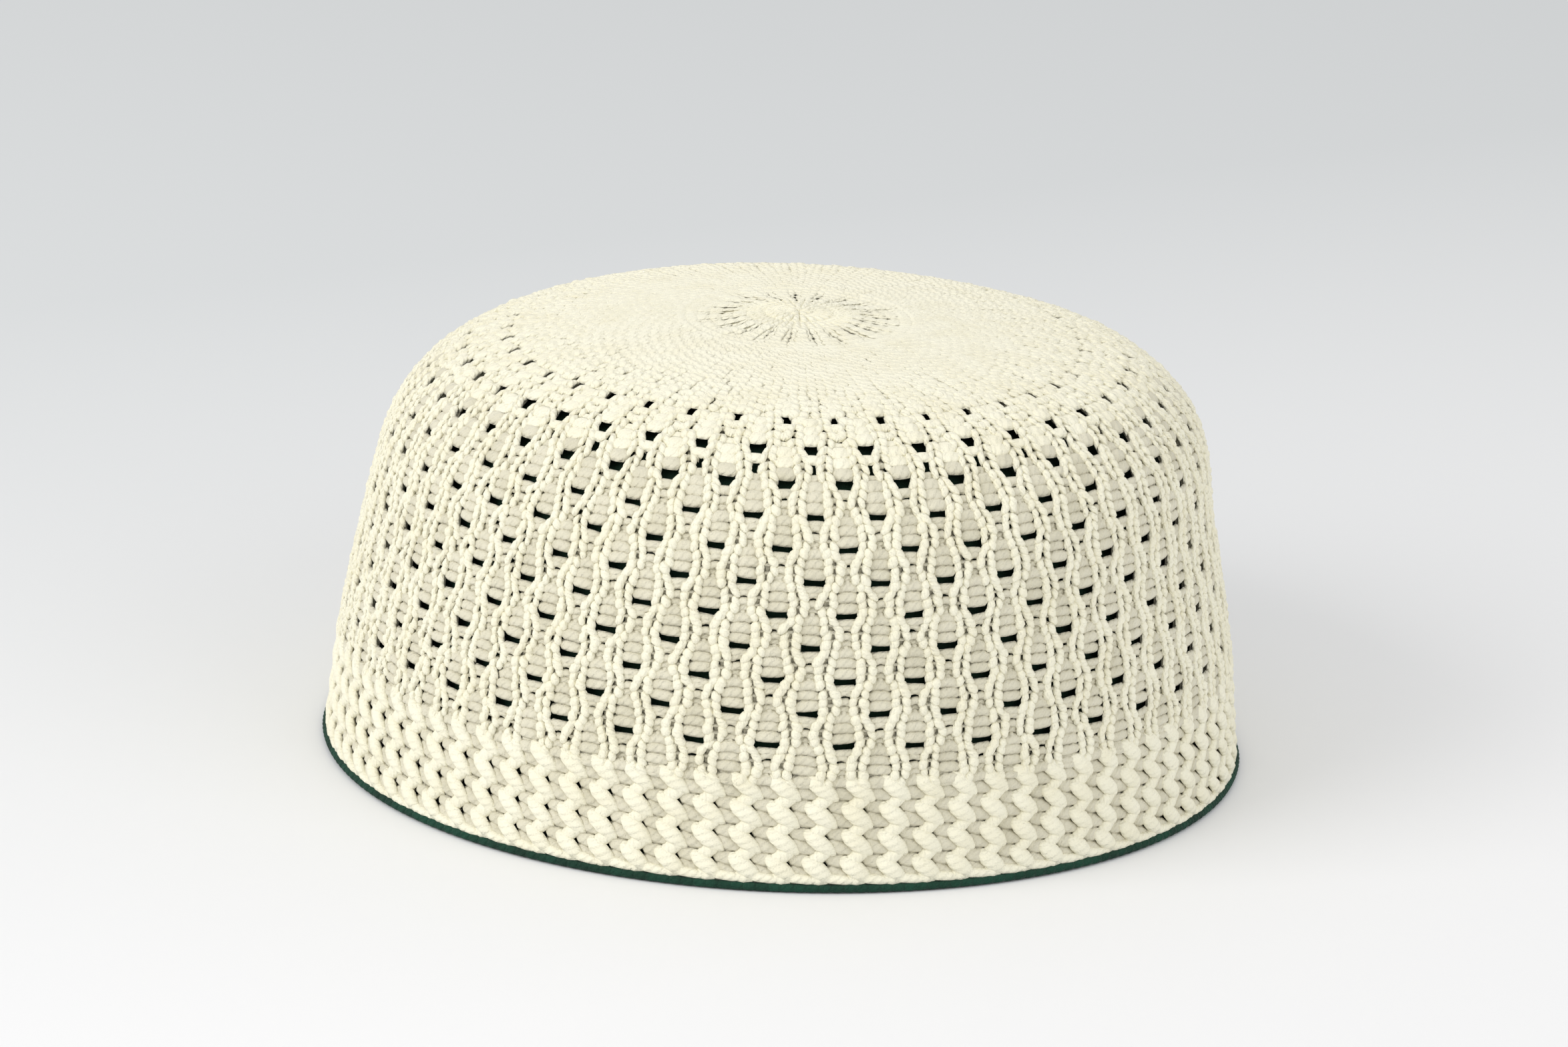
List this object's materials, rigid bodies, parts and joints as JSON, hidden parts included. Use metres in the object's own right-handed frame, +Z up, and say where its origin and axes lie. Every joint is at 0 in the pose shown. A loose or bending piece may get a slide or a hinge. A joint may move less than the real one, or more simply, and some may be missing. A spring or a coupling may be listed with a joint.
{
  "type": "kufi cap",
  "caption": "Brimless knitted cap with a flat gathered crown, an openwork side, a chevron hem and a dark green backing.",
  "frame": {"origin": "middle of the ring on which the cap stands, on the floor", "axes": "+Z up through the middle of the crown, -Y towards the front, +X to the right seen from the front"},
  "size_m": [0.1836, 0.171, 0.0873],
  "materials": {
    "cream_knit": "matt cream yarn, knitted",
    "green_edging": "matt dark green yarn, bound edge",
    "green_lining": "matt dark green jersey"
  },
  "bodies": {
    "root": {"crown": "cream_knit", "side": "cream_knit", "band": "cream_knit", "edging": "green_edging", "lining": "green_lining"}
  },
  "joints": []
}
